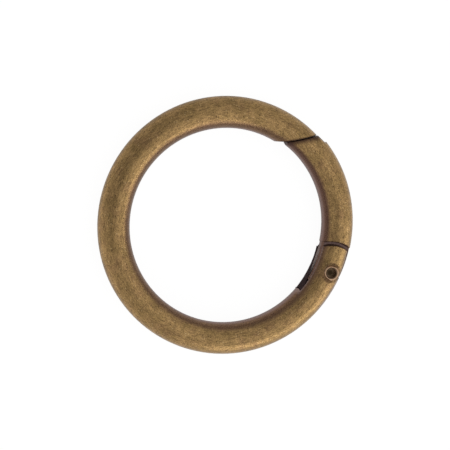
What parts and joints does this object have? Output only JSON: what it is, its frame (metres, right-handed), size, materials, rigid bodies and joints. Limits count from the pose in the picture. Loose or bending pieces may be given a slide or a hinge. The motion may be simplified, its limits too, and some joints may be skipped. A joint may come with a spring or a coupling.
{
  "type": "spring gate ring",
  "caption": "Round-wire ring with a sprung gate that swings into the eye on a hollow-ended pivot pin, to clip straps, loops or chains together; antique brass finish.",
  "frame": {"origin": "centre of the ring's eye, on the ring's middle plane", "axes": "+Z is the ring's axis, out of its flat side; +X points to the side where the gate is; the gate hinges at about -25 degrees and closes on the nose at about +49 degrees"},
  "size_m": [0.0334, 0.0332, 0.004],
  "materials": {
    "ring_body": "satin antique brass plating, brushed along the wire",
    "gate": "satin antique brass plating, brushed along the wire",
    "pivot_pin": "antique brass plating, worn bright on the rims",
    "leaf_spring": "dark tempered spring steel"
  },
  "bodies": {
    "ring": {"ring_body": "ring_body", "pivot_pin": "pivot_pin", "leaf_spring": "leaf_spring"},
    "gate": {"gate": "gate"}
  },
  "joints": [
    {"name": "gate_hinge", "type": "hinge", "parent": "ring", "child": "gate", "pos_m": [0.01357, -0.00627, 0], "axis": [0, 0, 1], "range_deg": [0, 35], "stiffness_Nm_per_rad": 0.05, "springref_deg": -1.15, "deforming": ["leaf_spring"]}
  ]
}
